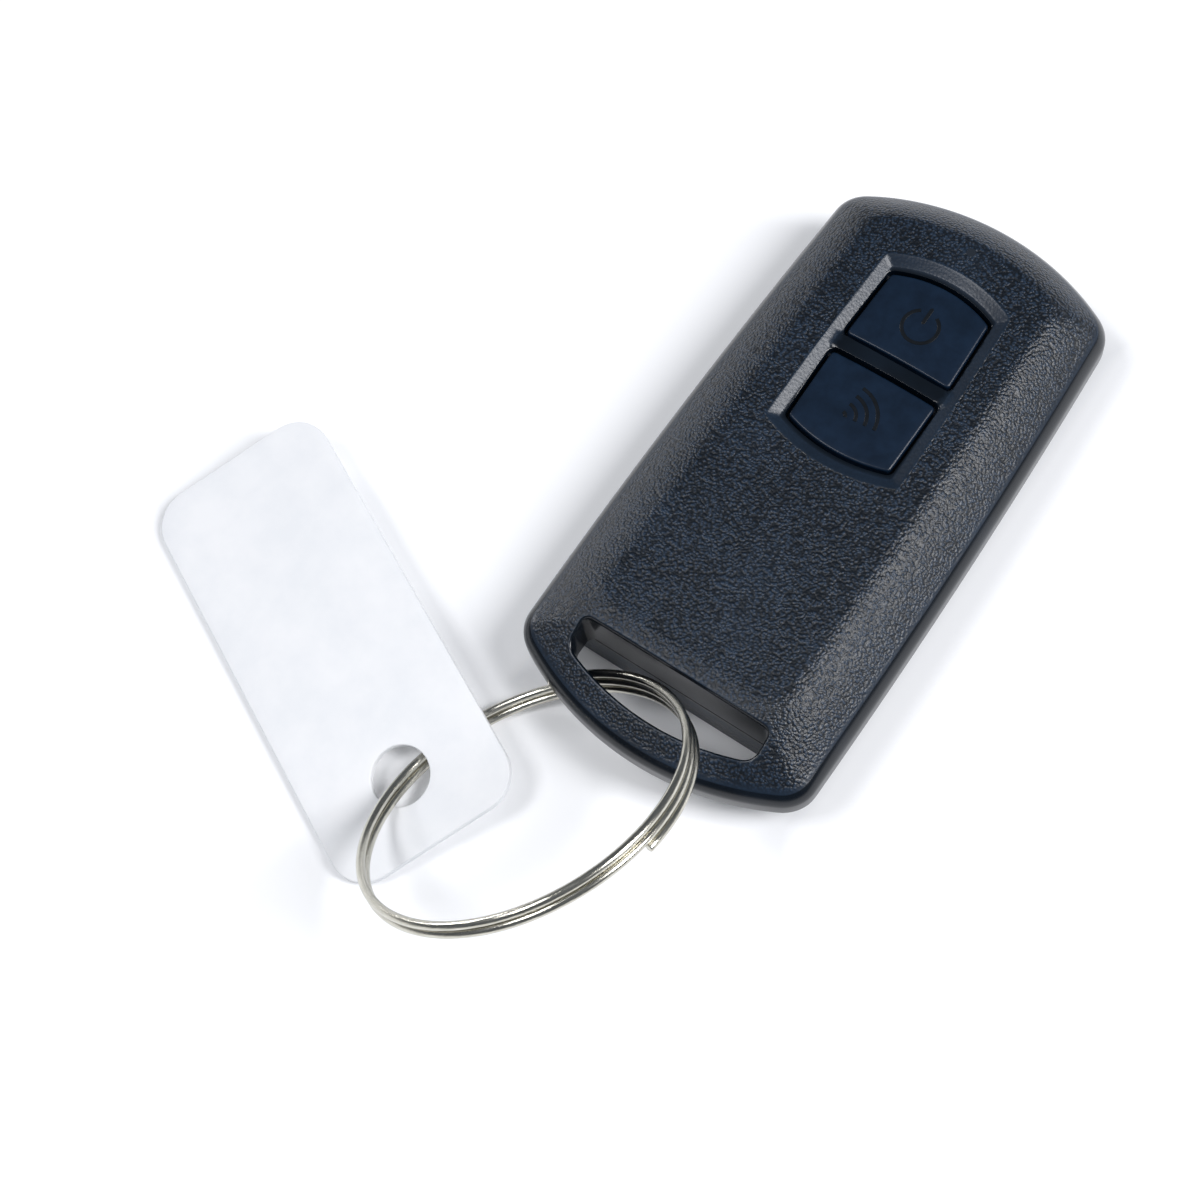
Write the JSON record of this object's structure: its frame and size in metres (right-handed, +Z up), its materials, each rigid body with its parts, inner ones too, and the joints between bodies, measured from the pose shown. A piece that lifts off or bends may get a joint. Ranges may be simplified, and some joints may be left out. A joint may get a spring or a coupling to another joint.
{
  "type": "key fob",
  "caption": "Bevelled plastic smart key fob with a button recess and an end slot that carries a split ring and a plain rectangular tag.",
  "frame": {"origin": "on the flat back face of the fob, in the middle of the fob's length and width", "axes": "+Z up through the front face, +Y along the fob towards the button end, +X to the right seen from the front"},
  "size_m": [0.0842, 0.106, 0.0263],
  "materials": {
    "housing": "fine grained, satin",
    "button": "smooth satin",
    "clear_plastic": "polished",
    "silicone": "smooth",
    "board": "solder resist",
    "switch_body": "moulded",
    "switch_plunger": "moulded",
    "spring_steel": "bright",
    "lamp": "clear",
    "chip": "moulded",
    "can_metal": "bright",
    "ferrite": "sintered",
    "copper": "enamelled wire",
    "carrier": "moulded",
    "ring_wire": "nickel plated, satin",
    "tag": "smooth"
  },
  "bodies": {
    "fob": {"antenna_base": "switch_body", "antenna_core": "ferrite", "antenna_winding": "copper", "battery_minus_contact": "spring_steel", "battery_plus_contact": "spring_steel", "board_carrier": "carrier", "case_gasket": "silicone", "chip_components": "chip", "circuit_board": "board", "coin_cell": "can_metal", "control_chip": "chip", "front_case": "housing", "keypad_seal": "silicone", "led_window": "clear_plastic", "lower_snap_dome": "spring_steel", "lower_switch": "switch_body", "quartz_crystal": "can_metal", "radio_chip": "chip", "rear_case": "housing", "status_lamp": "lamp", "upper_snap_dome": "spring_steel", "upper_switch": "switch_body"},
    "upper_key": {"upper_button": "button", "upper_plunger": "switch_plunger"},
    "lower_key": {"lower_button": "button", "lower_plunger": "switch_plunger"},
    "ring": {"split_ring": "ring_wire"},
    "tag": {"id_tag": "tag"}
  },
  "joints": [
    {"name": "upper_button_press", "type": "slide", "parent": "fob", "child": "upper_key", "axis": [0, 0, -1], "range_m": [0, 0.00035], "stiffness_N_per_m": 1500, "springref_m": -0.0003, "deforming": ["upper_snap_dome"]},
    {"name": "lower_button_press", "type": "slide", "parent": "fob", "child": "lower_key", "axis": [0, 0, -1], "range_m": [0, 0.00035], "stiffness_N_per_m": 1500, "springref_m": -0.0003, "deforming": ["lower_snap_dome"]},
    {"name": "ring_swing", "type": "hinge", "parent": "fob", "child": "ring", "pos_m": [0, -0.0375, 0.009], "axis": [0.9659, -0.2588, 0], "range_deg": [-50, 50]},
    {"name": "tag_swing", "type": "hinge", "parent": "ring", "child": "tag", "pos_m": [-0.02049, -0.05226, 0.00252], "axis": [-0.013, -0.9497, 0.3129], "range_deg": [-60, 10]}
  ]
}
